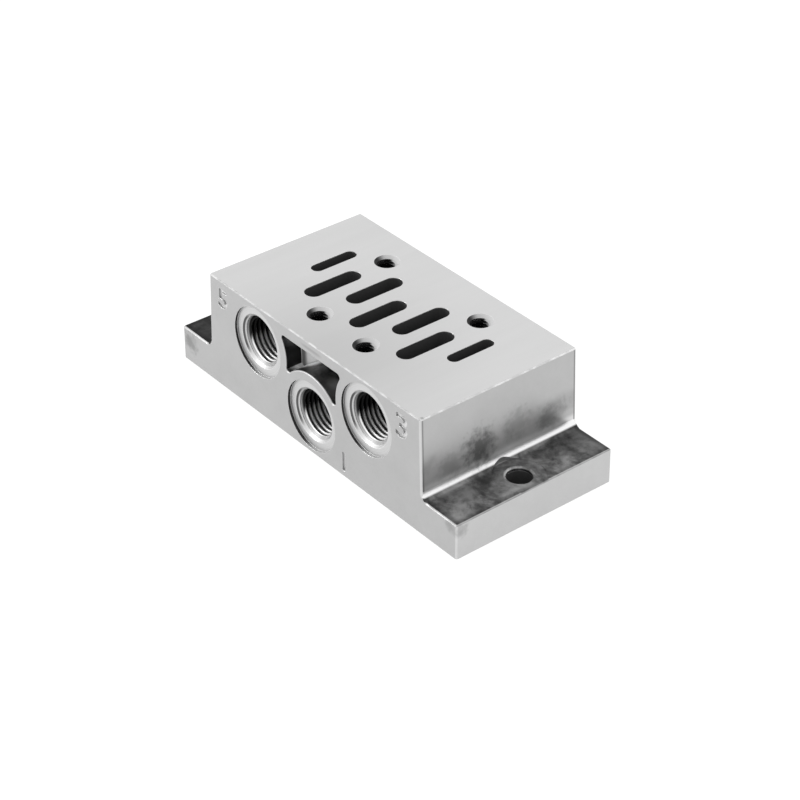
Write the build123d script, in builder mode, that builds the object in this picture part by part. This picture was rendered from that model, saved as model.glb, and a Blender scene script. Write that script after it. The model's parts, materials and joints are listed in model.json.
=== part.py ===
"""Subbase for one five-port spool valve with the smallest standard bolt-on face.

The whole subbase is a single aluminium pressure die casting: a block with a mounting flange at
each end, cored air slots and passages, and machined faces, ports and screw holes.

The origin is the centre of the underside. +X runs along the length, towards the right-hand flange.
+Y points to the rear, where the two outlet ports and the two pilot ports are. The supply port and
the two exhaust ports open to the front. +Z is up, towards the valve face. Lengths are in
millimetres and angles in degrees.
"""

import os
from math import radians, tan

from build123d import *

# Casting: a block, and a flange at each end of it
block_length = 84.6
base_width = 48.4
overall_height = 31.5
flange_length = 12.7
flange_thickness = 9.6
end_draft = 2.2
side_draft = 0.5
root_radius = 2.2
edge_radius = 0.6
face_chamfer = 0.25

# Mounting hole in each flange, with a spot face for the screw's washer
foot_hole_inset = 6.0
foot_hole_radius = 3.2
foot_hole_chamfer = 0.3
foot_seat_radius = 6.6
foot_seat_depth = 0.1

# Valve face: slots across the face at one pitch along it
slot_pitch = 9.0
slot_width = 4.9
slot_length = 16.6
front_slot_y = -3.1
rear_slot_y = 2.9
pilot_slot_spacing = 53.0
pilot_slot_y = 3.75
pilot_slot_width = 3.5
pilot_slot_length = 13.6

# How far below the axis of its port each slot is cored
main_slot_reach = 4.0
pilot_slot_reach = 1.5

# Valve screws, unevenly spaced so that a valve fits only one way round
rear_screw_spacing = 36.0
rear_screw_y = 14.0
front_screw_spacing = 18.0
front_screw_y = -14.0
screw_radius = 2.5
screw_depth = 12.0
screw_sink_radius = 3.3
drill_point_angle = 118.0

# Main ports, quarter-inch parallel pipe thread, bored to the thread's outer radius
port_radius = 6.58
port_thread_depth = 12.0
port_chamfer_radius = 7.35
port_seat_radius = 9.5
port_passage_radius = 5.0

# Pilot ports, eighth-inch parallel pipe thread
pilot_radius = 4.864
pilot_thread_depth = 8.5
pilot_chamfer_radius = 5.4
pilot_seat_radius = 7.4
pilot_passage_radius = 3.0

# The spot faces of one side are milled to one plane, this far in from the foot of that side
seat_inset = 0.9

# Exhaust ports stand high at the front, below the valve face, with the supply port low between them
exhaust_spacing = 43.2
exhaust_drop = 10.6
supply_height = 10.5

# Outlet ports stand low at the rear. The pilot ports are high, and a little outside their slots
outlet_spacing = 24.0
outlet_height = 11.0
pilot_outset = 2.5
pilot_drop = 11.5

# How far from the middle of the block each passage ends, inside its slot
exhaust_passage_end = 5.3
supply_passage_end = 3.3
outlet_passage_end = 3.3
pilot_passage_end = 1.9

# Front pocket, cored out between the three front ports, with a boss round each front screw
pocket_roof_thickness = 3.2
pocket_port_wall = 5.3
pocket_past_screws = 0.4
pocket_valley_rise = 8.3
pocket_roof_radius = 0.9
pocket_valley_radius = 0.6
pocket_rim_depth = 0.4
pocket_rim_angle = 45.0
screw_boss_radius = 5.2

# Cutting tools start this far outside the face that they cut
overcut = 1.0

# Planes of the faces that holes and slots are cut from
front_side = Plane((0, -base_width / 2, 0), x_dir=(1, 0, 0), z_dir=(0, -1, 0))
front_seats = front_side.offset(-seat_inset)
rear_seats = Plane((0, base_width / 2 - seat_inset, 0), x_dir=(1, 0, 0), z_dir=(0, 1, 0))
valve_face = Plane.XY.offset(overall_height)

# Places of the ports, along the block and up it
exhaust_height = overall_height - exhaust_drop
pilot_height = overall_height - pilot_drop
pilot_spacing = pilot_slot_spacing + 2 * pilot_outset
exhaust_places = [(-exhaust_spacing / 2, exhaust_height), (exhaust_spacing / 2, exhaust_height)]
supply_places = [(0, supply_height)]
outlet_places = [(-outlet_spacing / 2, -outlet_height), (outlet_spacing / 2, -outlet_height)]
pilot_places = [(-pilot_spacing / 2, -pilot_height), (pilot_spacing / 2, -pilot_height)]


def port_space(thread_radius, thread_depth, chamfer_radius, seat_radius, passage_radius, passage_end):
    """Everything removed for one port: spot face, chamfer, thread bore and cored passage.

    The port runs down from its spot face at Z = 0, along the Z axis. Its passage stops short of
    the middle of the block by passage_end.
    """
    chamfer_depth = chamfer_radius - thread_radius
    passage_depth = base_width / 2 - seat_inset - passage_end
    with BuildPart() as space:
        with BuildSketch(Plane.XZ):
            with BuildLine():
                Polyline(
                    (0, seat_inset + overcut),
                    (seat_radius, seat_inset + overcut),
                    (seat_radius, 0),
                    (chamfer_radius, 0),
                    (thread_radius, -chamfer_depth),
                    (thread_radius, -thread_depth),
                    (passage_radius, -thread_depth),
                    (passage_radius, -passage_depth),
                    (0, -passage_depth),
                    close=True,
                )
            make_face()
        revolve(axis=Axis.Z)
    return space.part


def main_port(passage_end):
    """Space of a main port whose passage stops here."""
    return port_space(
        port_radius, port_thread_depth, port_chamfer_radius,
        port_seat_radius, port_passage_radius, passage_end,
    )


def cut_ports(plane, places, space):
    """Cut this port space into a side of the casting at each of the places."""
    with Locations(plane):
        with Locations(*places):
            add(space, mode=Mode.SUBTRACT)


def cut_slots(places, length, width, floor_height):
    """Core slots across the valve face at these places, straight down to this height."""
    with BuildSketch(valve_face) as mouths:
        with Locations(*places):
            SlotOverall(length, width, rotation=90)
    extrude(mouths.sketch, amount=floor_height - overall_height, mode=Mode.SUBTRACT)


def cut_screw_holes(spacing, y):
    """Drill two valve screw holes, each with a sunk mouth and a pointed end."""
    down = (Align.CENTER, Align.CENTER, Align.MAX)
    tip_length = screw_radius / tan(radians(drill_point_angle / 2))
    with Locations(valve_face):
        with Locations((-spacing / 2, y), (spacing / 2, y)):
            Cylinder(screw_radius, screw_depth, align=down, mode=Mode.SUBTRACT)
            Cone(
                screw_radius, screw_sink_radius, screw_sink_radius - screw_radius,
                align=down, mode=Mode.SUBTRACT,
            )
        with Locations((-spacing / 2, y, -screw_depth), (spacing / 2, y, -screw_depth)):
            Cone(0, screw_radius, tip_length, align=down, mode=Mode.SUBTRACT)


# The front pocket's space is what its core fills: the room that the three front ports leave
# between them, less the bosses that carry the two front valve screws
roof_height = overall_height - pocket_roof_thickness
valley_height = supply_height + pocket_valley_rise
pocket_depth = base_width / 2 + front_screw_y + pocket_past_screws

with BuildPart() as pocket_space:
    with BuildSketch(front_side.offset(-pocket_rim_depth)) as pocket_mouth:
        with Locations((0, valley_height)):
            Rectangle(exhaust_spacing, roof_height - valley_height, align=(Align.CENTER, Align.MIN))
        with Locations(*exhaust_places, *supply_places):
            Circle(port_radius + pocket_port_wall, mode=Mode.SUBTRACT)
        fillet(pocket_mouth.vertices().group_by(Axis.Y)[-1], pocket_roof_radius)
        fillet(pocket_mouth.vertices().group_by(Axis.Y)[0], pocket_valley_radius)
    extrude(amount=pocket_rim_depth - pocket_depth)
    with Locations((-front_screw_spacing / 2, front_screw_y), (front_screw_spacing / 2, front_screw_y)):
        Cylinder(
            screw_boss_radius, overall_height,
            align=(Align.CENTER, Align.CENTER, Align.MIN), mode=Mode.SUBTRACT,
        )
    # The pocket's rim flares outwards
    extrude(pocket_mouth.sketch, amount=pocket_rim_depth + overcut, taper=-pocket_rim_angle)

# The ends of the block lean in towards the valve face
block_top_length = block_length - 2 * (overall_height - flange_thickness) * tan(radians(end_draft))
overall_length = block_length + 2 * flange_length

with BuildPart() as subbase:
    # Stepped side view of block and flanges, drawn out to the width
    with BuildSketch(Plane.XZ):
        with BuildLine():
            Polyline(
                (-overall_length / 2, 0),
                (overall_length / 2, 0),
                (overall_length / 2, flange_thickness),
                (block_length / 2, flange_thickness),
                (block_top_length / 2, overall_height),
                (-block_top_length / 2, overall_height),
                (-block_length / 2, flange_thickness),
                (-overall_length / 2, flange_thickness),
                close=True,
            )
        make_face()
    extrude(amount=base_width / 2, both=True)

    # The sides and the flange ends lean in from the underside, so that the casting leaves its die
    draft(subbase.faces().filter_by(Axis.Y), Plane.XY, side_draft)
    draft(subbase.faces().filter_by(Axis.X), Plane.XY, side_draft)

    # Cast radii: a wide one where the block stands on its flanges, a small one on the outer edges
    flange_top_edges = subbase.edges().filter_by(Axis.Y).group_by(Axis.Z)[1]
    fillet(flange_top_edges.sort_by(lambda edge: abs(edge.center().X))[:2], root_radius)
    flange_top_edges = subbase.edges().filter_by(Axis.Y).group_by(Axis.Z)[1]
    end_edges = flange_top_edges.sort_by(lambda edge: abs(edge.center().X))[-2:]
    sides = subbase.faces().sort_by(Axis.Y)
    side_edges = sides[0].edges() + sides[-1].edges()
    fillet(end_edges + side_edges.filter_by(lambda edge: 0 < edge.center().Z < overall_height), edge_radius)

    # The valve face is milled flat after casting, and its edge is broken
    chamfer(subbase.faces().sort_by(Axis.Z)[-1].edges(), face_chamfer)

    add(pocket_space.part, mode=Mode.SUBTRACT)

    # Slots 5, 1 and 3 lie to the front, 4 and 2 to the rear, and the pilot slots at the two ends.
    # Each runs down into the passage of its own port
    cut_slots([(-2 * slot_pitch, front_slot_y), (2 * slot_pitch, front_slot_y)],
              slot_length, slot_width, exhaust_height - main_slot_reach)
    cut_slots([(0, front_slot_y)], slot_length, slot_width, supply_height - main_slot_reach)
    cut_slots([(-slot_pitch, rear_slot_y), (slot_pitch, rear_slot_y)],
              slot_length, slot_width, outlet_height - main_slot_reach)
    cut_slots([(-pilot_slot_spacing / 2, pilot_slot_y), (pilot_slot_spacing / 2, pilot_slot_y)],
              pilot_slot_length, pilot_slot_width, pilot_height - pilot_slot_reach)

    cut_ports(front_seats, exhaust_places, main_port(exhaust_passage_end))
    cut_ports(front_seats, supply_places, main_port(supply_passage_end))
    cut_ports(rear_seats, outlet_places, main_port(outlet_passage_end))
    pilot_port = port_space(
        pilot_radius, pilot_thread_depth, pilot_chamfer_radius,
        pilot_seat_radius, pilot_passage_radius, pilot_passage_end,
    )
    cut_ports(rear_seats, pilot_places, pilot_port)

    cut_screw_holes(rear_screw_spacing, rear_screw_y)
    cut_screw_holes(front_screw_spacing, front_screw_y)

    # Flange holes, straight through, each with a spot face that also cuts into the root radius
    foot_hole_x = overall_length / 2 - foot_hole_inset
    foot_seat_height = flange_thickness - foot_seat_depth
    with Locations((-foot_hole_x, 0, foot_seat_height), (foot_hole_x, 0, foot_seat_height)):
        Cylinder(
            foot_seat_radius, root_radius + foot_seat_depth,
            align=(Align.CENTER, Align.CENTER, Align.MIN), mode=Mode.SUBTRACT,
        )
        CounterSinkHole(
            foot_hole_radius, foot_hole_radius + foot_hole_chamfer, foot_seat_height, counter_sink_angle=90,
        )

os.makedirs("parts", exist_ok=True)
subbase.part.label = "subbase"
export_step(subbase.part, "parts/subbase.step")
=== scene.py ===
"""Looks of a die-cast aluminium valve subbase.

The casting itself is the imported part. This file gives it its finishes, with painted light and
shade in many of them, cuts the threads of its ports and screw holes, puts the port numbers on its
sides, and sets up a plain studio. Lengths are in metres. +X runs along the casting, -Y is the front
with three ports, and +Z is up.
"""

import json
from math import atan, hypot, pi, radians, tan

import bmesh
import bpy
from bpy.props import FloatProperty, FloatVectorProperty, IntProperty, PointerProperty
from mathutils import Matrix, Vector
from mathutils.kdtree import KDTree


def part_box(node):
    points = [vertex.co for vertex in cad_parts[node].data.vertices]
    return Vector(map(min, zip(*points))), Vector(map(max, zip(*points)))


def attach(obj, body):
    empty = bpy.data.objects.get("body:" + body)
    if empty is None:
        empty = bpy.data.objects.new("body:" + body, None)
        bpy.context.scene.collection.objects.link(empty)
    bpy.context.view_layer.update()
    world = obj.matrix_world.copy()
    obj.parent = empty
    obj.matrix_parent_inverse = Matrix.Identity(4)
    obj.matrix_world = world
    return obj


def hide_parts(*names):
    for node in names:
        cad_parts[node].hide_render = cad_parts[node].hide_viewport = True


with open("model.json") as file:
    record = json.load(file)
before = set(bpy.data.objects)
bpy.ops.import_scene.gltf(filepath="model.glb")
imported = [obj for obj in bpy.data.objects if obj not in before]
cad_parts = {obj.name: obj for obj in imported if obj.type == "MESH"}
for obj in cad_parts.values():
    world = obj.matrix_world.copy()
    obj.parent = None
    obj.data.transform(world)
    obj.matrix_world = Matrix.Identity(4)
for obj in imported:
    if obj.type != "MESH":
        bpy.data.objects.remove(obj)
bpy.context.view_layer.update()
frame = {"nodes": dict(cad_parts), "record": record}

bl_info = {
    "name": "Cast valve subbase",
    "version": (1, 0, 0),
    "blender": (4, 5, 0),
    "location": "3D View > Sidebar > Subbase",
    "description": "Finishes, threads, port numbers and studio of a cast valve subbase",
    "category": "Object",
}

MM = 0.001
BODY = "root"
NODE = "subbase"

# Places that come with the frame, in metres
MOUNTS = {mount["name"]: mount for mount in frame["record"]["mounts"]}
LOWEST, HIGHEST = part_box(NODE)
FACE_HEIGHT = HIGHEST.z
HALF_WIDTH = HIGHEST.y
REACH = HIGHEST.x
FOOT_REACH = MOUNTS["foot_holes"]["dims"]["spacing_x_mm"] * MM / 2
FRONT_PORTS = ("port_1", "port_5", "port_3")
REAR_PORTS = ("port_4", "port_2")
PILOT_PORTS = ("pilot_14", "pilot_12")
SCREW_ROWS = ("valve_screws_rear", "valve_screws_front")
Y_AXIS = 1
Z_AXIS = 2

# Sizes of the casting that its finishes follow, in millimetres
FACE_LEVEL = FACE_HEIGHT / MM
FLANGE_HEIGHT = 9.6
BLOCK_END = 42.3
ROOT_RADIUS = 2.2
END_LEAN = tan(radians(2.2))
SIDE_LEAN = tan(radians(0.5))
SEAT_RADIUS = 9.5
SEAT_PLANE = 23.3
BORE_RADIUS = MOUNTS["port_1"]["dims"]["r_mm"]
SCREW_RADIUS = MOUNTS["valve_screws_rear"]["dims"]["hole_r_mm"]
SLOTS_REACH_ALONG = 29.25
SLOTS_REACH_ACROSS = 12.1
POCKET_FLOOR = 17.0
POCKET_ROOF = 28.3
POCKET_HALF_LENGTH = 13.0
POCKET_BACK = 9.4
BOSS_RADIUS = 5.2
FOOT_RADIUS = MOUNTS["foot_holes"]["dims"]["hole_r_mm"]
FOOT_SEAT_RADIUS = 6.6

# How far the mouth of each kind of hole is sunk at 45 degrees, in millimetres
PORT_SINK = 0.77
PILOT_SINK = 0.536
SCREW_SINK = 0.8
SINK_RADIUS = SCREW_RADIUS + SCREW_SINK
SCREW_THREAD_LENGTH = 11.2

# Widths of the lines of light along the edges and the corners, in millimetres
RIM_WIDTH = 0.3
CORNER_WIDTH = 0.75

# Middles of the painted sheen on the valve face and of the painted light in the pocket, in millimetres
PAINTED_SHEEN_MIDDLE = (8.0, -26.0, 31.5)
POCKET_PAINTED_LIGHT = (4.8, -20.8, 21.4)

# Order in which the regions' tones are laid over the cast skin, under and over the broken edges
UNDER_EDGES = ("end", "flange", "root", "seat", "seat wall", "bore", "face", "figure",
               "figure wall", "pocket", "corner", "corner line")
OVER_EDGES = ("rim", "flange rim", "foot rim", "sink", "deep bore", "slot", "foot hole")

# Roughness of the cast skin, and of each region in the order in which they are laid over it
SKIN_ROUGHNESS = 0.36
ROUGHNESS = {
    "end": 0.3, "face": 0.32, "flange": 0.5, "seat": 0.5, "seat wall": 0.7, "bore": 0.5,
    "pocket": 0.45, "deep bore": 0.6, "slot": 0.6, "foot hole": 0.6, "figure": 0.55,
    "figure wall": 0.75, "rim": 0.65, "flange rim": 0.65,
}

# Name, place and size in metres, and power in watts, of each lamp
LAMPS = (
    ("lamp_above", (-0.25, 0.2, 0.6), 1.0, 0.9),
    ("lamp_front", (-0.45, -0.55, 0.25), 0.3, 2.0),
)

# Colours and strengths of the floor and of the surround
WHITE = (1, 1, 1, 1)
FLOOR_COLOUR = (0.8, 0.8, 0.8, 1)
FLOOR_GLOW = 1.2
FLOOR_GLOW_SHARE = 0.75
SURROUND_LIGHT = 0.8

# Each figure's X and Z in millimetres, its side, -1 for the front and 1 for the rear, and its
# relative size
FIGURES = (
    ("5", -36.0, 26.2, -1, 1.0), ("3", 34.8, 26.0, -1, 1.2), ("1", 12.9, 3.9, -1, 1.0),
    ("4", -12.0, 25.6, 1, 1.0), ("2", 12.0, 25.6, 1, 1.0),
    ("14", -29.0, 6.4, 1, 1.0), ("12", 29.0, 6.4, 1, 1.0),
)

# Centre and radius in millimetres, and strength, of each dark mark: smudges, and on the block's end at
# X = 42 stain together with painted dark reflection
SMUDGES_AND_REFLECTIONS = (
    ((-51.8, -24.1, 6.2), 3.0, 0.5),
    ((52.8, -24.0, 8.4), 2.0, 0.3),
    ((55.0, -22.6, 7.6), 1.8, 0.35),
    ((40.9, -22.9, 31.5), 0.45, 0.5),
    # These four on the block's end are stain together with painted dark reflection
    ((42.0, -6.5, 16.5), 5.0, 0.75),
    ((42.0, 15.0, 15.8), 3.2, 0.45),
    ((42.0, 5.0, 18.3), 4.2, 0.3),
    ((42.0, -15.5, 15.0), 4.0, 0.28),
)


class SurfaceColours(bpy.types.PropertyGroup):
    """Brightness of the metal, region by region, with painted light and shade in some regions."""

    milled: FloatProperty(name="Milled", description="Valve face", default=0.52, min=0, max=1)
    skin: FloatProperty(name="Skin", description="Cast sides", default=0.47, min=0, max=1)
    end: FloatProperty(name="End", description="Ends of the block", default=0.5, min=0, max=1)
    # Painted reflection of the lit root fillet, low on the block's ends
    end_foot_reflection: FloatProperty(name="End foot", description="Ends near their root", default=0.75, min=0, max=1)
    # Painted highlight along the flanges' root fillets
    root_highlight: FloatProperty(name="Root line", description="Root above stain", default=0.95, min=0, max=1)
    # Painted highlight on the block's rounded vertical corners
    corner: FloatProperty(name="Corner", description="Block's rounded corners", default=0.62, min=0, max=1)
    # Flange tops: dark stain together with painted dark reflection
    flange: FloatProperty(name="Flange", description="Stained flange tops", default=0.2, min=0, max=1)
    flange_end: FloatProperty(name="Flange end", description="Flange end faces", default=0.54, min=0, max=1)
    turned: FloatProperty(name="Turned", description="Spot faces and threads", default=0.6, min=0, max=1)
    # Painted shade inside the slots, passages and foot holes
    inside: FloatProperty(name="Inside", description="Slots and passages", default=0.06, min=0, max=1)
    figure: FloatProperty(name="Figure", description="Floors of the figures", default=0.72, min=0, max=1)
    figure_wall: FloatProperty(name="Figure wall", description="Figures' walls", default=0.5, min=0, max=1)
    # Broken edges lightened for wear together with painted highlight
    edge: FloatProperty(name="Edge", description="Bright broken edges", default=0.76, min=0, max=1)


class ThreadSizes(bpy.types.PropertyGroup):
    """Sizes of the internal threads. Their outer radii come from the part."""

    port_pitch: FloatProperty(name="Port pitch", description="Quarter-inch pipe thread",
                              default=1.337 * MM, unit="LENGTH")
    port_height: FloatProperty(name="Port thread height", description="Root to crest",
                               default=0.856 * MM, unit="LENGTH")
    pilot_pitch: FloatProperty(name="Pilot pitch", description="Eighth-inch pipe thread",
                               default=0.907 * MM, unit="LENGTH")
    pilot_height: FloatProperty(name="Pilot thread height", description="Root to crest",
                                default=0.581 * MM, unit="LENGTH")
    screw_pitch: FloatProperty(name="Screw pitch", description="Five-millimetre screw",
                               default=0.8 * MM, unit="LENGTH")
    screw_height: FloatProperty(name="Screw thread height", description="Root to crest",
                                default=0.433 * MM, unit="LENGTH")
    turn_steps: IntProperty(name="Steps", description="Segments in one turn", default=48, min=12)


class NumberSizes(bpy.types.PropertyGroup):
    """Sizes of the port numbers."""

    height: FloatProperty(name="Height", description="Line height of a figure", default=7.4 * MM,
                          unit="LENGTH")
    width: FloatProperty(name="Width", description="Stretches the figures sideways", default=1.25)
    depth: FloatProperty(name="Depth", description="How far a figure is sunk",
                         default=0.5 * MM, unit="LENGTH")
    embolden: FloatProperty(name="Embolden", description="Widens the strokes",
                            default=0.12 * MM, unit="LENGTH")


class StudioSettings(bpy.types.PropertyGroup):
    """Camera, lamps and floor."""

    azimuth: FloatProperty(name="Azimuth", description="Camera's turn from the front towards +X",
                           default=radians(51.19), subtype="ANGLE")
    elevation: FloatProperty(name="Elevation", description="Camera's height angle",
                             default=radians(34.33), subtype="ANGLE")
    roll: FloatProperty(name="Roll", description="Camera's turn about its own line of sight",
                        default=radians(-0.18), subtype="ANGLE")
    distance: FloatProperty(name="Distance", description="From the camera to its aim",
                            default=0.5654, unit="LENGTH")
    aim: FloatVectorProperty(name="Aim", description="Point in the middle of the picture",
                             default=(0, 3.6 * MM, 3.35 * MM), subtype="XYZ")
    lens: FloatProperty(name="Lens", description="Focal length in millimetres", default=101.5)
    floor_radius: FloatProperty(name="Floor", description="Radius of the floor", default=3.0,
                                unit="LENGTH")


class SubbaseSettings(bpy.types.PropertyGroup):
    """Everything that can be set."""

    colours: PointerProperty(type=SurfaceColours)
    threads: PointerProperty(type=ThreadSizes)
    numbers: PointerProperty(type=NumberSizes)
    studio: PointerProperty(type=StudioSettings)


class NodeMaker:
    """Adds nodes to one material or node group, and links them."""

    def __init__(self, tree):
        self.tree = tree

    def feed(self, socket, value):
        """Link a socket to an output, or give it a plain value."""
        if isinstance(value, bpy.types.NodeSocket):
            self.tree.links.new(value, socket)
        else:
            socket.default_value = value

    def node(self, kind, inputs=None, **settings):
        """Add a node, with its properties and inputs."""
        made = self.tree.nodes.new(kind)
        for name, value in settings.items():
            setattr(made, name, value)
        for name, value in (inputs or {}).items():
            self.feed(made.inputs[name], value)
        return made

    def math(self, operation, *values):
        """One step of arithmetic."""
        made = self.node("ShaderNodeMath", operation=operation)
        for socket, value in zip(made.inputs, values):
            self.feed(socket, value)
        return made.outputs[0]

    def vector(self, operation, *values, output="Vector"):
        """One step of vector arithmetic."""
        made = self.node("ShaderNodeVectorMath", operation=operation)
        for socket, value in zip(made.inputs, values):
            self.feed(socket, value)
        return made.outputs[output]

    def ramp(self, value, start, end, low=0.0, high=1.0):
        """Value goes smoothly from low to high between start and end."""
        made = self.node("ShaderNodeMapRange", interpolation_type="SMOOTHSTEP")
        for name, number in (("Value", value), ("From Min", start), ("From Max", end),
                             ("To Min", low), ("To Max", high)):
            self.feed(made.inputs[name], number)
        return made.outputs["Result"]

    def above(self, value, limit, soft=0.05):
        """One where the value is over the limit, and nothing under it."""
        return self.ramp(value, limit - soft, limit + soft)

    def below(self, value, limit, soft=0.05):
        """One where the value is under the limit, and nothing over it."""
        return self.ramp(value, limit + soft, limit - soft)

    def band(self, value, low, high, soft=0.05):
        """One between low and high, and nothing outside them."""
        return self.product(self.above(value, low, soft), self.below(value, high, soft))

    def size(self, value):
        """The value without its sign."""
        return self.math("ABSOLUTE", value)

    def chain(self, operation, values):
        """The same step of arithmetic from each value to the next."""
        result = values[0]
        for value in values[1:]:
            result = self.math(operation, result, value)
        return result

    def product(self, *values):
        """The values multiplied. Of masks, it is where all of them are."""
        return self.chain("MULTIPLY", values)

    def total(self, *values):
        """The sum of the values."""
        return self.chain("ADD", values)

    def most(self, *values):
        """The greatest of the values. Of masks, it is where any of them is."""
        return self.chain("MAXIMUM", values)

    def least(self, *values):
        """The smallest of the values."""
        return self.chain("MINIMUM", values)

    def without(self, mask):
        """Where the mask isn't."""
        return self.math("SUBTRACT", 1.0, mask)

    def blend(self, mask, low, high):
        """Go from one number to another as the mask says."""
        made = self.node("ShaderNodeMix", data_type="FLOAT")
        self.feed(made.inputs["Factor"], mask)
        self.feed(made.inputs["A"], low)
        self.feed(made.inputs["B"], high)
        return made.outputs["Result"]

    def noise(self, position, scale, detail=3.0, roughness=0.55, distortion=0.0):
        """Cloudy noise with this many waves in a millimetre."""
        made = self.node("ShaderNodeTexNoise", inputs={
            "Vector": position, "Scale": scale, "Detail": detail,
            "Roughness": roughness, "Distortion": distortion,
        })
        return made.outputs["Fac"]

    def swing(self, noise, amount):
        """Noise as a swing of this size about zero."""
        return self.product(self.math("SUBTRACT", noise, 0.5), amount)


def new_group(name, inputs, outputs):
    """An empty shader group with these sockets, its maker, its inputs and its output node."""
    tree = bpy.data.node_groups.new(name, "ShaderNodeTree")
    for socket, kind, default in inputs:
        made = tree.interface.new_socket(name=socket, in_out="INPUT", socket_type=kind)
        if default is not None:
            made.default_value = default
    for socket, kind in outputs:
        tree.interface.new_socket(name=socket, in_out="OUTPUT", socket_type=kind)
    maker = NodeMaker(tree)
    start = maker.node("NodeGroupInput")
    end = maker.node("NodeGroupOutput")
    return tree, maker, start.outputs, end.inputs


FLOAT = "NodeSocketFloat"
VECTOR = "NodeSocketVector"


def millimetre_group():
    """Object coordinates in millimetres, and the three of them apart."""
    tree, maker, _, end = new_group(
        "Millimetres", [], [("Position", VECTOR), ("X", FLOAT), ("Y", FLOAT), ("Z", FLOAT)])
    place = maker.node("ShaderNodeTexCoord").outputs["Object"]
    scaled = maker.node("ShaderNodeVectorMath", operation="SCALE", inputs={0: place, "Scale": 1 / MM})
    parts = maker.node("ShaderNodeSeparateXYZ", inputs={0: scaled.outputs[0]})
    maker.feed(end["Position"], scaled.outputs[0])
    for axis in "XYZ":
        maker.feed(end[axis], parts.outputs[axis])
    return tree


def broken_edge_group():
    """Softened normals, and a mask along edges and corners."""
    tree, maker, start, end = new_group(
        "Broken edge", [("Radius", FLOAT, 0.3 * MM)], [("Mask", FLOAT), ("Normal", VECTOR)])
    soft = maker.node("ShaderNodeBevel", inputs={"Radius": start["Radius"]}, samples=4)
    true = maker.node("ShaderNodeNewGeometry").outputs["Normal"]
    agreement = maker.vector("DOT_PRODUCT", soft.outputs[0], true, output="Value")
    maker.feed(end["Mask"], maker.ramp(agreement, 0.985, 0.9))
    maker.feed(end["Normal"], soft.outputs[0])
    return tree


def cast_skin_group():
    """Mottled tone around one, and fine unevenness, of metal as it leaves the die."""
    tree, maker, start, end = new_group(
        "Cast skin", [("Position", VECTOR, None), ("Mottle", FLOAT, 0.1)],
        [("Tone", FLOAT), ("Height", FLOAT)])
    clouds = maker.noise(start["Position"], scale=0.12, detail=4.0, roughness=0.6)
    spots = maker.noise(start["Position"], scale=0.9, detail=3.0)
    grain = maker.noise(start["Position"], scale=5.0, detail=2.0)
    mixed = maker.total(maker.product(clouds, 0.7), maker.product(spots, 0.3))
    swing = maker.swing(mixed, start["Mottle"])
    maker.feed(end["Tone"], maker.total(maker.product(swing, 2.0), 1.0))
    maker.feed(end["Height"], maker.total(maker.product(grain, 0.35), maker.product(spots, 0.65)))
    return tree


def stain_group():
    """Blotches of dirt and oxide, and broader soft patches of them."""
    tree, maker, start, end = new_group(
        "Stain", [("Position", VECTOR, None)], [("Tone", FLOAT), ("Soft", FLOAT)])
    blotches = maker.noise(start["Position"], scale=0.16, detail=5.0, roughness=0.6, distortion=0.6)
    flecks = maker.noise(start["Position"], scale=0.7, detail=4.0, roughness=0.6)
    mixed = maker.total(maker.product(blotches, 0.75), maker.product(flecks, 0.25))
    maker.feed(end["Tone"], maker.ramp(mixed, 0.33, 0.67, 0.35, 1.7))
    soft = maker.noise(start["Position"], scale=0.13, detail=1.5, roughness=0.5)
    maker.feed(end["Soft"], maker.ramp(soft, 0.36, 0.62))
    return tree


def milled_group():
    """Fine streaks across the face, as a cutter leaves them, and a broad painted reflection, darker near
    its middle.
    """
    tree, maker, start, end = new_group(
        "Milled", [("Position", VECTOR, None)], [("Tone", FLOAT), ("Height", FLOAT)])
    wide = maker.vector("MULTIPLY", start["Position"], (0.25, 0.02, 0.25))
    fine = maker.vector("MULTIPLY", start["Position"], (3.0, 0.05, 3.0))
    streaks = maker.noise(wide, scale=1.0, detail=3.0)
    lines = maker.noise(fine, scale=1.0, detail=2.0)
    around_one = maker.total(maker.swing(streaks, 0.08), maker.swing(lines, 0.03), 1.0)
    away = maker.vector("DISTANCE", start["Position"], Vector(PAINTED_SHEEN_MIDDLE), output="Value")
    # Painted reflection: the face is darker near the sheen's middle and lighter away from it
    painted_sheen = maker.ramp(away, 0.0, 48.0, 0.86, 1.04)
    maker.feed(end["Tone"], maker.product(around_one, painted_sheen))
    maker.feed(end["Height"], lines)
    return tree


def turned_group():
    """Fine rings about the nearest port, as its cutter leaves them."""
    tree, maker, start, end = new_group(
        "Turned rings", [("Distance", FLOAT, 0.0)], [("Tone", FLOAT), ("Height", FLOAT)])
    rings = maker.node("ShaderNodeTexNoise", noise_dimensions="1D",
                       inputs={"W": start["Distance"], "Scale": 4.0, "Detail": 3.0})
    maker.feed(end["Tone"], maker.total(maker.swing(rings.outputs["Fac"], 0.2), 1.0))
    maker.feed(end["Height"], rings.outputs["Fac"])
    return tree


GROUP_MAKERS = {
    "Millimetres": millimetre_group,
    "Broken edge": broken_edge_group,
    "Cast skin": cast_skin_group,
    "Stain": stain_group,
    "Milled": milled_group,
    "Turned rings": turned_group,
}


def use_group(maker, name, **inputs):
    """Place a shared group, made the first time that it is asked for."""
    tree = bpy.data.node_groups.get(name) or GROUP_MAKERS[name]()
    made = maker.node("ShaderNodeGroup", node_tree=tree)
    for socket, value in inputs.items():
        maker.feed(made.inputs[socket], value)
    return made.outputs


def empty_tree(owner):
    """The maker of a material's or world's nodes, once its own first nodes are cleared away."""
    owner.use_nodes = True
    owner.node_tree.nodes.clear()
    return NodeMaker(owner.node_tree)


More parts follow.
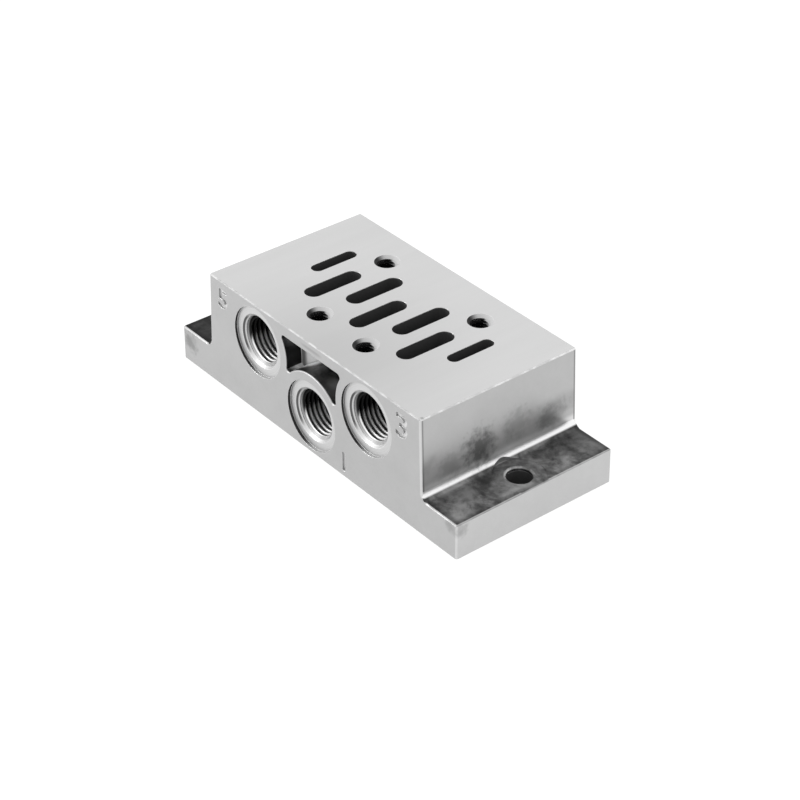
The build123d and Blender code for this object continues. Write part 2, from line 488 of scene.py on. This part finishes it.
def new_material(name):
    """A material with its maker and its shader."""
    material = bpy.data.materials.new(name)
    maker = empty_tree(material)
    shader = maker.node("ShaderNodeBsdfPrincipled")
    maker.node("ShaderNodeOutputMaterial", inputs={"Surface": shader.outputs[0]})
    return material, maker, shader


def grey(maker, value):
    """The same value in red, green and blue."""
    made = maker.node("ShaderNodeCombineColor", inputs={"Red": value, "Green": value, "Blue": value})
    return made.outputs[0]


def screw_places(row):
    """Places of the left and the right valve screw of a row, on the valve face."""
    mount = MOUNTS[row]
    reach = mount["dims"]["spacing_x_mm"] * MM / 2
    y = mount["pos_m"][1]
    return {"left": (-reach, y, FACE_HEIGHT), "right": (reach, y, FACE_HEIGHT)}


class SurfacePoint:
    """Where a point of the surface lies, in millimetres, and which way the surface faces there."""

    def __init__(self, maker):
        self.maker = maker
        place = use_group(maker, "Millimetres")
        self.position = place["Position"]
        self.x, self.y, self.z = (place[axis] for axis in "XYZ")
        self.along = maker.size(self.x)
        self.across = maker.size(self.y)
        normal = maker.node("ShaderNodeTexCoord").outputs["Normal"]
        facing = maker.node("ShaderNodeSeparateXYZ", inputs={0: normal}).outputs
        self.facing_x, self.facing_y, self.facing_z = (facing[axis] for axis in "XYZ")

    def from_spot(self, centre):
        """Distance from a spot that is given in millimetres."""
        return self.maker.vector("DISTANCE", self.position, Vector(centre), output="Value")

    def from_lines(self, places, axis):
        """Distance from the nearest line along this axis through one of the places, in metres."""
        flat = Vector([0.0 if number == axis else 1.0 for number in range(3)])
        distances = []
        for place in places:
            away = self.maker.vector("SUBTRACT", self.position, Vector(place) / MM)
            sideways = self.maker.vector("MULTIPLY", away, flat)
            distances.append(self.maker.vector("LENGTH", sideways, output="Value"))
        return self.maker.least(*distances)

    def from_port(self):
        """Distance from the axis of the nearest port on the same side."""
        front, rear = (
            self.from_lines([MOUNTS[name]["pos_m"] for name in names], Y_AXIS)
            for names in (FRONT_PORTS, REAR_PORTS + PILOT_PORTS))
        return self.maker.blend(self.maker.math("GREATER_THAN", self.y, 0.0), front, rear)

    def from_screw(self):
        """Distance from the axis of the nearest valve screw."""
        places = [place for row in SCREW_ROWS for place in screw_places(row).values()]
        return self.from_lines(places, Z_AXIS)


class CastingPoint(SurfacePoint):
    """A point of the casting, with how far it is from what the finishes follow.

    The side's and the end's gaps are how far it lies in from the leaning wall. The others are
    distances from the nearest axis.
    """

    def __init__(self, maker):
        super().__init__(maker)
        side_lean = maker.product(self.z, SIDE_LEAN)
        end_lean = maker.product(maker.math("SUBTRACT", self.z, FLANGE_HEIGHT), END_LEAN)
        self.side_gap = maker.math("SUBTRACT", HALF_WIDTH / MM, maker.total(self.across, side_lean))
        self.end_gap = maker.math("SUBTRACT", BLOCK_END, maker.total(self.along, end_lean))
        self.port_gap = self.from_port()
        self.screw_gap = self.from_screw()
        self.foot_gap = self.from_lines([(-FOOT_REACH, 0, 0), (FOOT_REACH, 0, 0)], Z_AXIS)


def block_regions(maker, point):
    """Masks of the valve face, the ends of the block, and their edges."""
    endways = maker.size(point.facing_x)
    straight = 0.9
    end = maker.product(
        maker.above(endways, straight),
        maker.above(point.z, FLANGE_HEIGHT + 2.0, soft=0.2),
        maker.below(point.end_gap, RIM_WIDTH, soft=0.1))
    return {
        "face": maker.above(point.z, FACE_LEVEL - 0.09, soft=0.03),
        "rim": maker.product(
            maker.above(point.z, FACE_LEVEL - RIM_WIDTH),
            maker.below(maker.least(point.side_gap, point.end_gap), RIM_WIDTH)),
        "end": end,
        "corner": maker.product(
            maker.band(endways, 0.15, straight),
            maker.below(maker.size(point.facing_z), 0.35),
            maker.above(point.along, BLOCK_END - 1.55, soft=0.25),
            maker.below(point.side_gap, CORNER_WIDTH)),
        "corner line": maker.product(end, maker.band(point.side_gap, 0.5, 0.85, soft=0.1)),
    }


def flange_regions(maker, point):
    """Masks of the flanges' tops, rims, roots and holes."""
    return {
        "flange": maker.product(
            maker.most(maker.above(point.facing_z, 0.935, soft=0.035),
                       maker.below(point.foot_gap, FOOT_SEAT_RADIUS + 0.45, soft=0.15)),
            maker.band(point.z, FLANGE_HEIGHT - 0.2, FLANGE_HEIGHT + 0.15),
            maker.above(point.along, BLOCK_END + 0.2, soft=0.5)),
        "flange rim": maker.product(
            maker.band(point.z, FLANGE_HEIGHT - 0.28, FLANGE_HEIGHT + 0.1),
            maker.above(point.along, BLOCK_END + ROOT_RADIUS + 0.25, soft=0.25),
            maker.most(maker.below(point.side_gap, RIM_WIDTH),
                       maker.above(point.along, REACH / MM - 0.4))),
        "root": maker.product(
            maker.band(point.z, FLANGE_HEIGHT + 0.02, FLANGE_HEIGHT + ROOT_RADIUS),
            maker.band(point.along, BLOCK_END - 0.1, BLOCK_END + ROOT_RADIUS),
            maker.above(point.facing_z, 0.06, soft=0.04)),
        "foot hole": maker.product(
            maker.below(point.z, FLANGE_HEIGHT - 1.1, soft=0.2),
            maker.above(point.z, 0.35, soft=0.15),
            maker.below(point.foot_gap, FOOT_RADIUS + 0.7, soft=0.1)),
        "foot rim": maker.product(
            maker.band(point.z, FLANGE_HEIGHT - 1.1, FLANGE_HEIGHT + 0.1, soft=0.1),
            maker.below(point.foot_gap, FOOT_RADIUS + 0.55, soft=0.15)),
    }


def opening_regions(maker, point):
    """Masks of the slots and the sunk screw holes in the valve face, and of the ports."""
    bore = maker.product(
        maker.below(point.across, SEAT_PLANE - 0.075, soft=0.025),
        maker.below(point.port_gap, BORE_RADIUS + PORT_SINK + 0.15))
    return {
        "slot": maker.product(
            maker.below(point.z, FACE_LEVEL - 0.2, soft=0.1),
            maker.below(point.across, SLOTS_REACH_ACROSS, soft=0.1),
            maker.below(point.along, SLOTS_REACH_ALONG, soft=0.25),
            maker.above(point.screw_gap, SINK_RADIUS + 0.2, soft=0.1)),
        "sink": maker.product(
            maker.band(point.z, FACE_LEVEL - 1.2, FACE_LEVEL - 0.05, soft=0.03),
            maker.below(point.screw_gap, SINK_RADIUS + 0.15)),
        "seat": maker.product(
            maker.band(point.across, SEAT_PLANE - 0.1, SEAT_PLANE + 0.1, soft=0.03),
            maker.below(point.port_gap, SEAT_RADIUS + 0.05)),
        "seat wall": maker.product(
            maker.above(point.across, SEAT_PLANE + 0.05, soft=0.03),
            maker.above(point.side_gap, 0.04, soft=0.02),
            maker.below(point.port_gap, SEAT_RADIUS + 0.125, soft=0.025)),
        "bore": bore,
        "deep bore": maker.product(bore, maker.below(point.across, 14.75, soft=2.25)),
    }


def side_regions(maker, point):
    """Masks of the front pocket with the screw bosses in it, and of the sunk figures."""
    sideways = maker.size(point.facing_y)
    pocket = maker.product(
        maker.above(point.side_gap, 0.175, soft=0.125),
        maker.below(point.y, -POCKET_BACK - 0.1, soft=0.1),
        maker.below(point.along, POCKET_HALF_LENGTH - 0.1, soft=0.1),
        maker.band(point.z, POCKET_FLOOR, POCKET_ROOF, soft=0.1),
        maker.above(point.port_gap, SEAT_RADIUS + 0.05, soft=0.25))
    plain_side = maker.product(
        maker.above(point.port_gap, SEAT_RADIUS + 0.5, soft=0.1), maker.without(pocket))
    return {
        "pocket": pocket,
        "boss": maker.product(pocket, maker.below(point.screw_gap, BOSS_RADIUS + 0.2, soft=0.1)),
        "lit floor": maker.product(
            maker.above(point.facing_z, 0.45, soft=0.15),
            maker.below(point.x, -3.4, soft=1.2),
            maker.below(point.screw_gap, BOSS_RADIUS + 2.9, soft=1.5)),
        "figure": maker.product(
            plain_side,
            maker.band(point.side_gap, 0.25, 0.75),
            maker.above(sideways, 0.875, soft=0.075)),
        "figure wall": maker.product(
            plain_side,
            maker.above(point.side_gap, 0.04, soft=0.02),
            maker.below(point.side_gap, 0.65),
            maker.below(sideways, 0.7, soft=0.1),
            maker.below(point.along, 39.25, soft=0.25),
            maker.band(point.z, 1.5, 30.0, soft=0.2)),
    }


def cast_tones(maker, point, pattern, colours):
    """Tones of the skin, the block's ends and corners, the flanges and roots, with painted light and shade.
    """
    skin, stain = pattern["skin"]["Tone"], pattern["stain"]["Tone"]
    patchy = maker.product(pattern["stain"]["Soft"], maker.ramp(stain, 1.4, 0.5, 0.6, 1.3))
    # Patchy dark band on the ends: stain together with painted reflection of the dark flange below
    end_stain_and_reflection = maker.product(maker.band(point.z, 14.5, 20.0, soft=2.0), patchy, 0.3)
    # Flange tops: dark stain together with painted dark reflection, much darker on the left flange
    flange = maker.product(
        stain, colours.flange,
        maker.ramp(point.along, 44.0, 53.0, 0.7, 1.3),
        maker.ramp(point.y, 10.0, 21.0, 1.0, 0.4),
        maker.ramp(point.side_gap, 2.2, 0.8, 1.0, 0.5),
        maker.ramp(point.along, 52.8, 54.2, 1.0, 0.6),
        maker.ramp(point.x, -1.0, 1.0, 0.12, 1.0))
    return {
        "skin": maker.product(skin, maker.ramp(point.along, 54.6, 54.8, colours.skin, colours.flange_end)),
        # The ends lighten low down in painted reflection of the lit root fillet
        "end": maker.product(
            skin, maker.ramp(point.z, 13.8, 12.3, colours.end, colours.end_foot_reflection), maker.without(end_stain_and_reflection)),
        "flange": flange,
        # Painted highlight along the root fillet, above the stained flange
        "root": maker.blend(maker.ramp(point.z, 10.1, 10.5), flange, colours.root_highlight),
        # Painted highlight on the block's rounded corners
        "corner": maker.product(skin, colours.corner),
        "corner line": 0.25,
    }


def edge_tones(maker, point):
    """Tones of the broken edges, uneven along their length, with painted light and shade at the ends."""
    uneven = maker.ramp(maker.noise(point.position, scale=0.35), 0.35, 0.65, 0.45, 0.6)
    endways = maker.size(point.facing_x)
    return {
        # The valve face's rim gets a painted highlight where it faces along the casting
        "rim": maker.product(uneven, maker.ramp(endways, 0.3, 0.5, 1.0, 1.45)),
        # The flanges' rims get painted shade where they face along the casting
        "flange rim": maker.product(uneven, maker.ramp(endways, 0.3, 0.5, 1.0, 0.75)),
        "foot rim": maker.ramp(maker.noise(point.position, scale=0.5), 0.35, 0.65, 0.2, 0.5),
    }


def machined_tones(maker, point, pattern, colours):
    """Tones of the milled face, and of the turned seats, bores and sinks, with painted light and shade."""
    turned = maker.product(pattern["turned"]["Tone"], colours.turned)
    # Painted shade on the outer part of each port's chamfer, where it faces +X
    painted_shade_ring = maker.product(
        maker.band(point.port_gap, 6.85, 7.25), maker.above(point.facing_x, 0.5, soft=0.1))
    towards_rear_right = maker.total(point.facing_x, point.facing_y)
    return {
        "face": maker.product(pattern["milled"]["Tone"], colours.milled),
        "seat": turned,
        # Painted shade on the seats' walls, darkest where they face +X
        "seat wall": maker.ramp(point.facing_x, -0.1, 0.45, 0.45, 0.03),
        "bore": maker.blend(painted_shade_ring, turned, 0.12),
        # Painted light and shade in the screw holes' sunk mouths: dark where they face the rear and +X,
        # light where they face the other way
        "sink": maker.ramp(towards_rear_right, 0.95, 0.2, 0.03, 0.62),
    }


def pocket_tone(maker, point, mask, pattern):
    """Tone of the pocket in painted shade, with a stained floor, and painted light on the left boss and by
    its foot.
    """
    # Painted shade: near-black walls, and the stain darkened on the floor
    floor = maker.product(pattern["stain"]["Tone"], 0.14)
    tone = maker.blend(maker.ramp(point.facing_z, 0.2, 0.5), 0.035, floor)
    # Painted highlight on the floor by the left boss's foot
    tone = maker.blend(mask["lit floor"], tone, 0.97)
    # A patch of painted light on the pocket's floor
    tone = maker.blend(maker.ramp(point.from_spot(POCKET_PAINTED_LIGHT), 2.4, 0.6), tone, 0.5)
    # Painted light on the left boss, on its side that faces +X
    return maker.blend(mask["boss"], tone, maker.ramp(point.facing_x, 0.05, 0.3, 0.2, 0.85))


def smudges_and_reflections(maker, point):
    """Dark marks with ragged edges: smudges, and on the block's end stain with painted dark reflection."""
    ragged = maker.swing(maker.noise(point.position, scale=0.6), 2.0)
    marks = []
    for centre, radius, strength in SMUDGES_AND_REFLECTIONS:
        away = maker.total(maker.math("DIVIDE", point.from_spot(centre), radius), ragged)
        marks.append(maker.ramp(away, 1.4, 0.2, 0.0, strength))
    return maker.most(*marks)


def lay_over(maker, mask, base, layers):
    """Lay each region's value over the base, in the order given."""
    for name, value in layers.items():
        base = maker.blend(mask[name], base, value)
    return base


def casting_tone(maker, point, mask, pattern, colours):
    """Tone of the whole casting, from its skin up to the smudges and painted dark reflection over it."""
    tones = {
        **cast_tones(maker, point, pattern, colours),
        **edge_tones(maker, point),
        **machined_tones(maker, point, pattern, colours),
        # Slots, deep bores and foot holes in painted shade
        **dict.fromkeys(("deep bore", "slot", "foot hole"), colours.inside),
        "figure": colours.figure,
        "figure wall": colours.figure_wall,
        "pocket": pocket_tone(maker, point, mask, pattern),
    }
    by_foot = maker.product(
        maker.above(point.along, BLOCK_END - 0.55, soft=0.25),
        maker.above(point.z, FLANGE_HEIGHT - 0.45, soft=0.15),
        maker.below(point.foot_gap, 8.25, soft=0.25))
    quiet = maker.most(mask["figure"], mask["figure wall"], mask["pocket"], mask["seat wall"], by_foot)
    streak = maker.product(
        maker.band(point.x, -3.0, 4.0, soft=1.5), maker.band(point.z, 29.4, 30.1, soft=0.3),
        maker.below(point.y, -23.65, soft=0.15), 0.3)

    tone = lay_over(maker, mask, tones["skin"], {name: tones[name] for name in UNDER_EDGES})
    # Broken edges are lightened, for wear together with painted highlight, where it isn't quiet
    tone = maker.blend(maker.product(mask["broken"], maker.without(quiet)), tone, colours.edge)
    tone = lay_over(maker, mask, tone, {name: tones[name] for name in OVER_EDGES})
    tone = maker.blend(streak, tone, 0.1)
    return maker.blend(smudges_and_reflections(maker, point), tone, 0.08)


def casting_material(colours):
    """The casting's finishes and painted light and shade, each in its own region of the one surface."""
    material, maker, shader = new_material("Cast aluminium")
    point = CastingPoint(maker)
    edge = use_group(maker, "Broken edge", Radius=0.2 * MM)
    mask = {"broken": edge["Mask"]}
    for regions in (block_regions, flange_regions, opening_regions, side_regions):
        mask.update(regions(maker, point))
    pattern = {
        "skin": use_group(maker, "Cast skin", Position=point.position, Mottle=0.1),
        "stain": use_group(maker, "Stain", Position=point.position),
        "milled": use_group(maker, "Milled", Position=point.position),
        "turned": use_group(maker, "Turned rings", Distance=point.port_gap),
    }
    tone = casting_tone(maker, point, mask, pattern, colours)
    maker.feed(shader.inputs["Base Color"], grey(maker, tone))
    maker.feed(shader.inputs["Roughness"], lay_over(maker, mask, SKIN_ROUGHNESS, ROUGHNESS))

    dark = maker.most(*(mask[name] for name in ("slot", "deep bore", "foot hole", "seat wall", "sink")))
    lit_pocket = maker.product(mask["pocket"], maker.most(mask["boss"], mask["lit floor"]))
    metal = maker.blend(dark, maker.blend(mask["end"], 1.0, 0.7), 0.0)
    maker.feed(shader.inputs["Metallic"], maker.blend(lit_pocket, metal, 0.0))
    maker.feed(shader.inputs["Specular IOR Level"], maker.blend(dark, 0.5, 0.1))

    turned = maker.most(mask["seat"], mask["bore"], mask["sink"])
    relief = maker.blend(
        mask["face"], pattern["skin"]["Height"], maker.product(pattern["milled"]["Height"], 0.2))
    relief = maker.blend(turned, relief, maker.product(pattern["turned"]["Height"], 0.3))
    bump = maker.node("ShaderNodeBump", inputs={
        "Height": relief, "Normal": edge["Normal"], "Distance": 0.02 * MM, "Strength": 1.0})
    maker.feed(shader.inputs["Normal"], bump.outputs[0])
    return material


def thread_material(colours):
    """Freshly cut threads, painted light on the flanks facing the light, painted shade in roots and deeper
    in.
    """
    material, maker, shader = new_material("Cut thread")
    point = SurfacePoint(maker)
    skin = use_group(maker, "Cast skin", Position=point.position, Mottle=0.25)

    in_port = maker.product(maker.ramp(point.across, 10.0, 10.5), maker.ramp(point.z, 30.0, 29.0))
    # Painted shade in the roots, lighter towards the crests
    crest = maker.ramp(point.from_port(), BORE_RADIUS - 0.3, BORE_RADIUS - 0.75, 0.12, 1.6)
    # Painted light on the flanks that face up, and painted shade deeper in
    port_shade = maker.product(
        maker.ramp(point.facing_z, 0.13, 0.48, 0.02, 1.0), crest, maker.ramp(point.across, 11.0, 17.0))
    # A painted light ring on the first turn by the port's mouth
    port_shade = maker.blend(maker.ramp(point.across, 21.9, 22.3), port_shade, 0.75)

    in_screw = maker.product(
        maker.below(point.from_screw(), SINK_RADIUS, soft=0.1), maker.ramp(point.z, 19.0, 19.4))
    # Painted light where the screw threads face the front and -X, and painted shade deeper down
    screw_shade = maker.product(
        maker.ramp(maker.total(point.facing_x, point.facing_y), -0.25, -0.6, 0.02, 0.9),
        maker.ramp(point.z, 28.5, 30.5, 0.1, 1.0))

    shade = maker.blend(in_screw, maker.blend(in_port, 1.0, port_shade), screw_shade)
    shine = maker.least(shade, 1.0)
    maker.feed(shader.inputs["Base Color"], grey(maker, maker.product(skin["Tone"], colours.turned, shade)))
    maker.feed(shader.inputs["Roughness"], maker.product(skin["Tone"], 0.45))
    maker.feed(shader.inputs["Metallic"], maker.blend(in_screw, maker.product(shine, 0.6), 0.0))
    maker.feed(shader.inputs["Specular IOR Level"], maker.product(shine, 0.5))
    return material


def add_piece(name, mesh, material):
    """A finished piece of the object, which rides with the casting."""
    mesh.materials.clear()
    mesh.materials.append(material)
    piece = bpy.data.objects.new(name, mesh)
    bpy.context.scene.collection.objects.link(piece)
    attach(piece, BODY)
    return piece


def shade_smooth(mesh):
    """Smooth shading, with an edge kept wherever two faces meet at more than 30 degrees."""
    mesh.polygons.foreach_set("use_smooth", [True] * len(mesh.polygons))
    mesh.set_sharp_from_angle(angle=radians(30))


def thread_mesh(name, radius, ridge_height, pitch, sink, length, steps):
    """Helical ridge of an internal thread, with its axis on Z and its hole running down from Z = 0.

    Radius and length are those of the bore, below a mouth that is sunk at 45 degrees and cuts back
    the first turn. The ridge's foot lies a little way inside the bore's wall.
    """
    spare = 0.1 * MM
    root_flat = 0.035 * pitch
    half_base = pitch / 2 - root_flat
    half_crest = 0.09 * pitch
    top = -(half_base + spare)
    run = sink + length - 2 * half_base - spare
    turns = run / pitch
    count = round(turns * steps)
    shape = bmesh.new()
    corners = [
        (radius + spare, half_base), (radius + spare, -half_base),
        (radius - ridge_height, -half_crest), (radius - ridge_height, half_crest),
    ]
    profile = shape.faces.new([shape.verts.new((r, 0, top + z)) for r, z in corners])
    bmesh.ops.spin(
        shape, geom=[profile], cent=(0, 0, 0), axis=(0, 0, -1), dvec=(0, 0, -run / count),
        angle=2 * pi * turns, steps=count, use_merge=False,
    )
    clear = 0.01 * MM
    for vertex in shape.verts:
        reach = hypot(vertex.co.x, vertex.co.y)
        least = radius + sink + vertex.co.z + clear
        if reach < least:
            vertex.co.x *= least / reach
            vertex.co.y *= least / reach
    bmesh.ops.recalc_face_normals(shape, faces=shape.faces)
    mesh = bpy.data.meshes.new(name)
    shape.to_mesh(mesh)
    shape.free()
    shade_smooth(mesh)
    return mesh


def hole_matrix(mouth, axis):
    """Turns a hole that runs down from Z = 0 so that it runs in against this axis."""
    return Matrix.Translation(mouth) @ axis.to_track_quat("Z", "X").to_matrix().to_4x4()


def cut_thread(colours):
    """The material of all threads, made the first time that it is asked for."""
    return bpy.data.materials.get("Cut thread") or thread_material(colours)


class SUBBASE_OT_finish_casting(bpy.types.Operator):
    """Give the casting its milled, cast, turned and stained finishes, and painted light and shade"""

    bl_idname = "subbase.finish_casting"
    bl_label = "Finish casting"

    def execute(self, context):
        material = casting_material(context.scene.subbase.colours)
        for slot in frame["nodes"][NODE].material_slots:
            slot.material = material
        return {"FINISHED"}


class SUBBASE_OT_cut_port_threads(bpy.types.Operator):
    """Cut the pipe threads of the main ports and the pilot ports"""

    bl_idname = "subbase.cut_port_threads"
    bl_label = "Cut port threads"

    def execute(self, context):
        sizes = context.scene.subbase.threads
        material = cut_thread(context.scene.subbase.colours)
        main = (sizes.port_pitch, sizes.port_height, PORT_SINK * MM)
        pilot = (sizes.pilot_pitch, sizes.pilot_height, PILOT_SINK * MM)
        for names, (pitch, ridge, sink) in ((FRONT_PORTS + REAR_PORTS, main), (PILOT_PORTS, pilot)):
            for name in names:
                mount = MOUNTS[name]
                radius = mount["dims"]["r_mm"] * MM
                length = mount["dims"]["length_mm"] * MM
                axis = Vector(mount["axis"])
                mouth = Vector(mount["pos_m"]) + axis * (length / 2 + sink)
                piece = f"thread_{name}"
                mesh = thread_mesh(piece, radius, ridge, pitch, sink, length, sizes.turn_steps)
                mesh.transform(hole_matrix(mouth, axis))
                add_piece(piece, mesh, material)
        return {"FINISHED"}


class SUBBASE_OT_cut_screw_threads(bpy.types.Operator):
    """Cut the threads of the four valve screw holes"""

    bl_idname = "subbase.cut_screw_threads"
    bl_label = "Cut screw threads"

    def execute(self, context):
        sizes = context.scene.subbase.threads
        material = cut_thread(context.scene.subbase.colours)
        for row in SCREW_ROWS:
            for side, place in screw_places(row).items():
                piece = f"{row}_thread_{side}"
                mesh = thread_mesh(piece, SCREW_RADIUS * MM, sizes.screw_height, sizes.screw_pitch,
                                   SCREW_SINK * MM, SCREW_THREAD_LENGTH * MM, sizes.turn_steps)
                mesh.transform(Matrix.Translation(place))
                add_piece(piece, mesh, material)
        return {"FINISHED"}


def figure_mesh(text, height, sizes):
    """Closed solid of a figure, drawn flat about the origin, half above Z = 0 and half below."""
    curve = bpy.data.curves.new(f"figure_{text}", "FONT")
    curve.body = text
    curve.align_x = "CENTER"
    curve.align_y = "CENTER"
    curve.size = height
    curve.extrude = sizes.depth
    # The widened strokes of a 4 would cross each other and leave open edges
    curve.offset = 0.0 if "4" in text else sizes.embolden
    curve.resolution_u = 4
    drawn = bpy.data.objects.new(f"figure_{text}", curve)
    mesh = bpy.data.meshes.new_from_object(drawn)
    bpy.data.objects.remove(drawn)
    bpy.data.curves.remove(curve)
    mesh.transform(Matrix.Diagonal((sizes.width, 1, 1, 1)))
    weld(mesh)
    return mesh


def weld(mesh):
    """Join the points that lie on each other."""
    shape = bmesh.new()
    shape.from_mesh(mesh)
    bmesh.ops.remove_doubles(shape, verts=shape.verts, dist=0.001 * MM)
    shape.to_mesh(mesh)
    shape.free()


def face_corners(mesh):
    """Number, place, face's normal and own normal of each corner of a mesh's faces."""
    for face in mesh.polygons:
        for corner in face.loop_indices:
            place = mesh.vertices[mesh.loops[corner].vertex_index].co
            yield corner, place, face.normal, mesh.corner_normals[corner].vector


def keep_shading(mesh, source):
    """Give each corner that the source has too, on a face turned the same way, its normal there."""
    same_place = 0.002 * MM
    same_turn = 0.9999
    known = list(face_corners(source))
    tree = KDTree(len(known))
    for number, (_, place, _, _) in enumerate(known):
        tree.insert(place, number)
    tree.balance()
    normals = [None] * len(mesh.loops)
    for corner, place, facing, normal in face_corners(mesh):
        near = [known[number][2:] for _, number, _ in tree.find_range(place, same_place)]
        kept = max(near, key=lambda other: other[0].dot(facing), default=None)
        alike = kept and kept[0].dot(facing) > same_turn
        normals[corner] = kept[1] if alike else normal.copy()
    mesh.normals_split_custom_set(normals)


class SUBBASE_OT_number_ports(bpy.types.Operator):
    """Sink a plain figure into the casting beside each port"""

    bl_idname = "subbase.number_ports"
    bl_label = "Number ports"

    def execute(self, context):
        sizes = context.scene.subbase.numbers
        node = frame["nodes"][NODE]
        mesh = node.data.copy()
        mesh.name = "casting_numbered"
        mesh.attributes.remove(mesh.attributes["custom_normal"])
        weld(mesh)
        body = bpy.data.objects.new("casting_numbered", mesh)
        context.scene.collection.objects.link(body)
        cutters = []
        stand = Matrix.Rotation(pi / 2 + atan(SIDE_LEAN), 4, "X")
        for text, x, z, side, size in FIGURES:
            cut = figure_mesh(text, size * sizes.height, sizes)
            wall = HALF_WIDTH - z * MM * SIDE_LEAN
            turn = Matrix.Rotation(0.0 if side < 0 else pi, 4, "Z")
            cut.transform(turn @ Matrix.Translation((-side * x * MM, -wall, z * MM)) @ stand)
            cutter = bpy.data.objects.new(cut.name, cut)
            context.scene.collection.objects.link(cutter)
            cutters.append(cutter)
            sink = body.modifiers.new(cut.name, "BOOLEAN")
            sink.operation = "DIFFERENCE"
            sink.solver = "EXACT"
            sink.use_self = True
            sink.object = cutter
        finished = bpy.data.meshes.new_from_object(body.evaluated_get(context.evaluated_depsgraph_get()))
        for made in cutters + [body]:
            bpy.data.objects.remove(made)
        shade_smooth(finished)
        keep_shading(finished, node.data)
        piece = add_piece("casting_numbered", finished, node.material_slots[0].material)
        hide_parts(NODE)
        return {"FINISHED"}


class SUBBASE_OT_set_studio(bpy.types.Operator):
    """Set up the pale floor, the soft lamps and the camera"""

    bl_idname = "subbase.set_studio"
    bl_label = "Set studio"

    def execute(self, context):
        studio = context.scene.subbase.studio
        context.scene.view_settings.view_transform = "Standard"
        lay_floor(studio)
        light_world(context)
        hang_lamps(context)
        place_camera(context, studio)
        return {"FINISHED"}


def seen_directly(maker):
    """One for what the camera, a reflection or a clear piece looks at."""
    path = maker.node("ShaderNodeLightPath").outputs
    return maker.most(path["Is Camera Ray"], path["Is Glossy Ray"], path["Is Transmission Ray"])


def lay_floor(studio):
    """A pale round floor just under the casting, which shows white and keeps a soft shadow."""
    shape = bmesh.new()
    bmesh.ops.create_circle(shape, cap_ends=True, segments=64, radius=studio.floor_radius)
    mesh = bpy.data.meshes.new("studio_floor")
    shape.to_mesh(mesh)
    shape.free()
    mesh.transform(Matrix.Translation((0, 0, LOWEST.z - 0.02 * MM)))
    floor = bpy.data.objects.new("studio_floor", mesh)
    bpy.context.scene.collection.objects.link(floor)

    material = bpy.data.materials.new("Studio floor")
    maker = empty_tree(material)
    matt = maker.node("ShaderNodeBsdfDiffuse", inputs={"Color": FLOOR_COLOUR})
    glow = maker.node("ShaderNodeEmission", inputs={"Color": WHITE, "Strength": FLOOR_GLOW})
    share = maker.product(seen_directly(maker), FLOOR_GLOW_SHARE)
    mixed = maker.node("ShaderNodeMixShader", inputs={0: share, 1: matt.outputs[0], 2: glow.outputs[0]})
    maker.node("ShaderNodeOutputMaterial", inputs={"Surface": mixed.outputs[0]})
    mesh.materials.append(material)


def light_world(context):
    """An even surround, which gives a little less light than the white that it shows."""
    world = bpy.data.worlds.new("Studio surround")
    context.scene.world = world
    maker = empty_tree(world)
    strength = maker.blend(seen_directly(maker), SURROUND_LIGHT, 1.0)
    light = maker.node("ShaderNodeBackground", inputs={"Color": WHITE, "Strength": strength})
    maker.node("ShaderNodeOutputWorld", inputs={"Surface": light.outputs[0]})


def hang_lamps(context):
    """Soft lamps, each as a square of light that faces the casting."""
    for name, place, size, power in LAMPS:
        lamp = bpy.data.lights.new(name, "AREA")
        lamp.shape = "SQUARE"
        lamp.size = size
        lamp.energy = power
        made = bpy.data.objects.new(name, lamp)
        made.location = place
        made.rotation_euler = Vector(place).to_track_quat("Z", "Y").to_euler()
        context.scene.collection.objects.link(made)


def place_camera(context, studio):
    """The camera, turned about its aim."""
    camera = bpy.data.cameras.new("camera")
    camera.sensor_width = 36.0
    camera.lens = studio.lens
    camera.clip_start = 0.01
    made = bpy.data.objects.new("camera", camera)
    turn = (Matrix.Rotation(studio.azimuth, 4, "Z")
            @ Matrix.Rotation(pi / 2 - studio.elevation, 4, "X")
            @ Matrix.Rotation(studio.roll, 4, "Z"))
    back = Matrix.Translation((0, 0, studio.distance))
    made.matrix_world = Matrix.Translation(studio.aim) @ turn @ back
    context.scene.collection.objects.link(made)
    context.scene.camera = made


class SUBBASE_PT_panel(bpy.types.Panel):
    """Sizes, colours and steps of the subbase"""

    bl_idname = "SUBBASE_PT_panel"
    bl_label = "Valve subbase"
    bl_space_type = "VIEW_3D"
    bl_region_type = "UI"
    bl_category = "Subbase"

    def draw(self, context):
        settings = context.scene.subbase
        for title, group in (("Colours", settings.colours), ("Threads", settings.threads),
                             ("Numbers", settings.numbers), ("Studio", settings.studio)):
            box = self.layout.box()
            box.label(text=title)
            for name in group.__annotations__:
                box.prop(group, name)
        for operator in OPERATORS:
            self.layout.operator(operator.bl_idname)


OPERATORS = (
    SUBBASE_OT_finish_casting,
    SUBBASE_OT_cut_port_threads,
    SUBBASE_OT_cut_screw_threads,
    SUBBASE_OT_number_ports,
    SUBBASE_OT_set_studio,
)
SETTINGS = (SurfaceColours, ThreadSizes, NumberSizes, StudioSettings, SubbaseSettings)
CLASSES = SETTINGS + OPERATORS + (SUBBASE_PT_panel,)


def register():
    for made in CLASSES:
        bpy.utils.register_class(made)
    bpy.types.Scene.subbase = PointerProperty(type=SubbaseSettings)


def unregister():
    del bpy.types.Scene.subbase
    for made in reversed(CLASSES):
        bpy.utils.unregister_class(made)


def main():
    register()
    bpy.ops.subbase.finish_casting()
    bpy.ops.subbase.cut_port_threads()
    bpy.ops.subbase.cut_screw_threads()
    bpy.ops.subbase.number_ports()
    bpy.ops.subbase.set_studio()
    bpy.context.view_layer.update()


if __name__ == "__main__":
    main()
